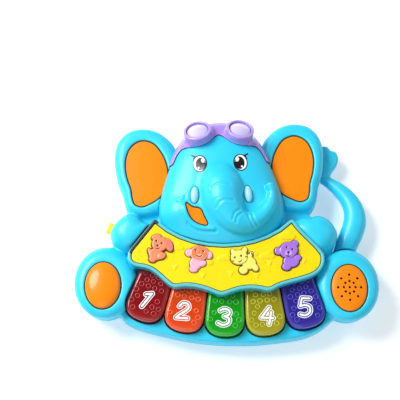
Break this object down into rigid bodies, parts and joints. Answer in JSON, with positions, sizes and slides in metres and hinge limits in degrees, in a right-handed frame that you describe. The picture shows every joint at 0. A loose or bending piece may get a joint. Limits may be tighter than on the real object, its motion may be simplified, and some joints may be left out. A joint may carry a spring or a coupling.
{
  "type": "toy electronic keyboard",
  "caption": "Baby piano shaped like an elephant lying on its back: a fan of sprung translucent keys, animal buttons on a scalloped panel, a speaker in one foot and a tail for a handle.",
  "frame": {"origin": "under the middle of the toy, on the surface its moulded pads rest on", "axes": "+X to the player's right, +Y from the keys to the elephant's head, +Z out of the play face"},
  "size_m": [0.2854, 0.2164, 0.0705],
  "materials": {
    "blue_shell": "smooth moulded shell, satin to glossy",
    "yellow_panel": "smooth bright plastic",
    "orange_plastic": "smooth bright plastic",
    "eye_print": "glossy black and white",
    "pale_tusk": "glossy pale plastic",
    "purple_plastic": "smooth",
    "lavender_lens": "very glossy",
    "salmon_plastic": "smooth",
    "pink_plastic": "smooth",
    "cream_plastic": "smooth",
    "violet_plastic": "smooth",
    "red_key": "clear tinted plastic",
    "orange_key": "clear tinted plastic",
    "green_key": "clear tinted plastic",
    "olive_key": "clear tinted plastic",
    "indigo_key": "clear tinted plastic",
    "white_plastic": "plain",
    "grey_rubber": "moulded silicone",
    "circuit_board": "solder mask",
    "black_plastic": "plain",
    "steel": "nickel plated",
    "speaker_paper": "treated paper cone",
    "magnet": "ceramic magnet",
    "cell_can": "plain sleeve over a metal can",
    "red_wire": "insulated wire",
    "black_wire": "insulated wire"
  },
  "bodies": {
    "housing": {"front_housing": "blue_shell", "rear_housing": "blue_shell", "tail_handle": "blue_shell", "head_shell": "blue_shell", "panel_tray": "blue_shell", "battery_door": "blue_shell", "music_panel": "yellow_panel", "left_ear_insert": "orange_plastic", "right_ear_insert": "orange_plastic", "mouth_insert": "orange_plastic", "right_sole_grille": "orange_plastic", "left_eye": "eye_print", "right_eye": "eye_print", "left_tusk": "pale_tusk", "right_tusk": "pale_tusk", "goggle_frame": "purple_plastic", "left_goggle_lens": "lavender_lens", "right_goggle_lens": "lavender_lens", "key_bracket": "white_plastic", "key_led_strip": "white_plastic", "key_contact_pad": "grey_rubber", "button_contact_pad": "grey_rubber", "key_board": "circuit_board", "button_board": "circuit_board", "main_board": "circuit_board", "sole_switch": "black_plastic", "speaker_frame": "steel", "speaker_cone": "speaker_paper", "speaker_magnet": "magnet", "power_switch": "steel", "battery_1": "cell_can", "battery_2": "cell_can", "battery_3": "cell_can", "battery_contact_negative": "steel", "battery_contact_positive": "steel", "battery_bridge_left": "steel", "battery_bridge_right": "steel", "battery_door_screw": "steel", "speaker_wire_red": "red_wire", "battery_wire_red": "red_wire", "speaker_wire_black": "black_wire", "battery_wire_black": "black_wire", "housing_screw_1": "steel", "housing_screw_2": "steel", "housing_screw_3": "steel", "housing_screw_4": "steel", "housing_screw_5": "steel", "housing_screw_6": "steel"},
    "key_1": {"key_1": "red_key"},
    "key_2": {"key_2": "orange_key"},
    "key_3": {"key_3": "green_key"},
    "key_4": {"key_4": "olive_key"},
    "key_5": {"key_5": "indigo_key"},
    "dog_button": {"dog_button": "salmon_plastic"},
    "monkey_button": {"monkey_button": "pink_plastic"},
    "cat_button": {"cat_button": "cream_plastic"},
    "bear_button": {"bear_button": "violet_plastic"},
    "left_sole_button": {"left_sole_button": "orange_plastic"},
    "power_knob": {"power_knob": "yellow_panel"}
  },
  "joints": [
    {"name": "key_1_hinge", "type": "hinge", "parent": "housing", "child": "key_1", "pos_m": [-0.06111, -0.03181, 0.027], "axis": [0.9447, -0.328, 0], "range_deg": [0, 3.3], "stiffness_Nm_per_rad": 1},
    {"name": "key_2_hinge", "type": "hinge", "parent": "housing", "child": "key_2", "pos_m": [-0.03091, -0.0399, 0.027], "axis": [0.9821, -0.1882, 0], "range_deg": [0, 3.3], "stiffness_Nm_per_rad": 1},
    {"name": "key_3_hinge", "type": "hinge", "parent": "housing", "child": "key_3", "pos_m": [0.00014, -0.04355, 0.027], "axis": [0.999, -0.0445, 0], "range_deg": [0, 3.3], "stiffness_Nm_per_rad": 1},
    {"name": "key_4_hinge", "type": "hinge", "parent": "housing", "child": "key_4", "pos_m": [0.03139, -0.04268, 0.027], "axis": [0.995, 0.1002, 0], "range_deg": [0, 3.3], "stiffness_Nm_per_rad": 1},
    {"name": "key_5_hinge", "type": "hinge", "parent": "housing", "child": "key_5", "pos_m": [0.06219, -0.0373, 0.027], "axis": [0.9701, 0.2428, 0], "range_deg": [0, 3.3], "stiffness_Nm_per_rad": 1},
    {"name": "dog_press", "type": "slide", "parent": "housing", "child": "dog_button", "axis": [0, 0, -1], "range_m": [0, 0.0012], "stiffness_N_per_m": 600},
    {"name": "monkey_press", "type": "slide", "parent": "housing", "child": "monkey_button", "axis": [0, 0, -1], "range_m": [0, 0.0012], "stiffness_N_per_m": 600},
    {"name": "cat_press", "type": "slide", "parent": "housing", "child": "cat_button", "axis": [0, 0, -1], "range_m": [0, 0.0012], "stiffness_N_per_m": 600},
    {"name": "bear_press", "type": "slide", "parent": "housing", "child": "bear_button", "axis": [0, 0, -1], "range_m": [0, 0.0012], "stiffness_N_per_m": 600},
    {"name": "sole_press", "type": "slide", "parent": "housing", "child": "left_sole_button", "axis": [0, 0, -1], "range_m": [0, 0.0019], "stiffness_N_per_m": 500},
    {"name": "power_slide", "type": "slide", "parent": "housing", "child": "power_knob", "axis": [0.342, 0.9397, 0], "range_m": [-0.0025, 0.0025]}
  ]
}
